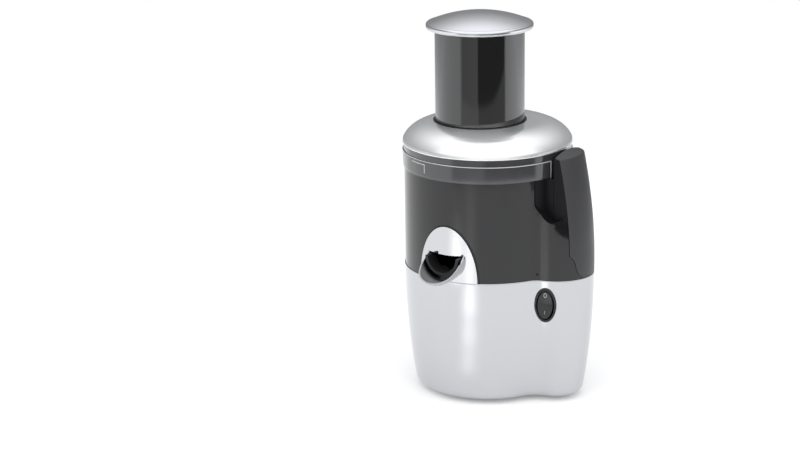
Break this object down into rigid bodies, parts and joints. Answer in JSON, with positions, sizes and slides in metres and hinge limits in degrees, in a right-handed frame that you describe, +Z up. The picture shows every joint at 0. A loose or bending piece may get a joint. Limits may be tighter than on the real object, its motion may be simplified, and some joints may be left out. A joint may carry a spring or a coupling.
{
  "type": "centrifugal juicer",
  "caption": "Upright centrifugal juicer: chrome motor base, smoky juice bowl with spout and handle, twist-lock lid, wide feed chute with pusher, spinning filter basket.",
  "frame": {"origin": "middle of the bounding box on the plane that the feet stand on", "axes": "+Z up along the motor shaft, +X towards the handle, -Y towards the juice spout"},
  "size_m": [0.2129, 0.2134, 0.4074],
  "materials": {
    "chrome_shell": "mirror chrome",
    "polished_silver": "polished silver",
    "smoke_chute": "smoky clear plastic",
    "smoke_bowl": "smoky gloss plastic",
    "grey_lid": "translucent grey plastic",
    "satin_handle": "satin dark grey plastic",
    "black_plastic": "black moulded plastic",
    "switch_gloss": "gloss black plastic",
    "rubber": "black rubber",
    "stainless": "stainless steel",
    "steel": "bright steel",
    "iron_core": "stacked iron sheet",
    "copper": "enamelled copper wire",
    "cast_aluminium": "cast aluminium",
    "grey_plastic": "grey moulded plastic",
    "white_can": "white plastic can"
  },
  "bodies": {
    "base": {"base_housing": "chrome_shell", "base_plate": "black_plastic", "feet": "rubber", "base_plate_screws": "steel", "deck": "black_plastic", "motor_stator": "iron_core", "stator_windings": "copper", "lower_end_shield": "cast_aluminium", "upper_end_shield": "cast_aluminium", "lower_bearing": "steel", "upper_bearing": "steel", "motor_bolts": "steel", "motor_dampers": "rubber", "motor_screws": "steel", "shaft_seal": "rubber", "run_capacitor": "white_can", "capacitor_clip": "steel", "terminal_block": "black_plastic", "interlock_sensor": "black_plastic", "cord_gland": "black_plastic", "switch_bezel": "switch_gloss", "switch_body": "black_plastic"},
    "rotor": {"motor_shaft": "steel", "rotor_core": "iron_core", "cooling_fan": "grey_plastic", "basket_hub": "grey_plastic", "grater_disc": "stainless", "filter_basket": "stainless", "basket_rim": "stainless"},
    "switch": {"switch_rocker": "switch_gloss"},
    "bowl": {"bowl": "smoke_bowl", "handle": "satin_handle", "rod_guide": "black_plastic", "handle_screws": "steel", "rod_spring": "steel", "spout": "chrome_shell", "spout_liner": "black_plastic"},
    "rod": {"interlock_rod": "steel"},
    "lid": {"lid": "grey_lid", "lid_seal": "rubber", "lid_dome": "polished_silver", "feed_chute": "smoke_chute", "chute_seal": "rubber"},
    "pusher": {"pusher_tube": "smoke_chute", "pusher_cap": "polished_silver"}
  },
  "joints": [
    {"name": "rotor_spin", "type": "hinge", "parent": "base", "child": "rotor", "pos_m": [-0.01645, 0.01667, 0.1], "axis": [0, 0, 1], "continuous": true},
    {"name": "switch_rock", "type": "hinge", "parent": "base", "child": "switch", "pos_m": [0.07316, -0.01967, 0.1115], "axis": [0.9659, 0.2588, 0], "range_deg": [0, 16]},
    {"name": "bowl_twist", "type": "hinge", "parent": "base", "child": "bowl", "pos_m": [-0.01645, 0.01667, 0.19], "axis": [0, 0, 1], "range_deg": [0, 25]},
    {"name": "lid_twist", "type": "hinge", "parent": "bowl", "child": "lid", "pos_m": [-0.01645, 0.01667, 0.257], "axis": [0, 0, 1], "range_deg": [0, 30]},
    {"name": "rod_lift", "type": "slide", "parent": "bowl", "child": "rod", "axis": [0, 0, 1], "range_m": [0, 0.003], "deforming": ["rod_spring"]},
    {"name": "pusher_slide", "type": "slide", "parent": "lid", "child": "pusher", "axis": [0, 0, 1], "range_m": [0, 0.18]}
  ],
  "couplings": [
    {"joint": "rod_lift", "follows": "lid_twist", "m_per_rad": 0.0057}
  ]
}
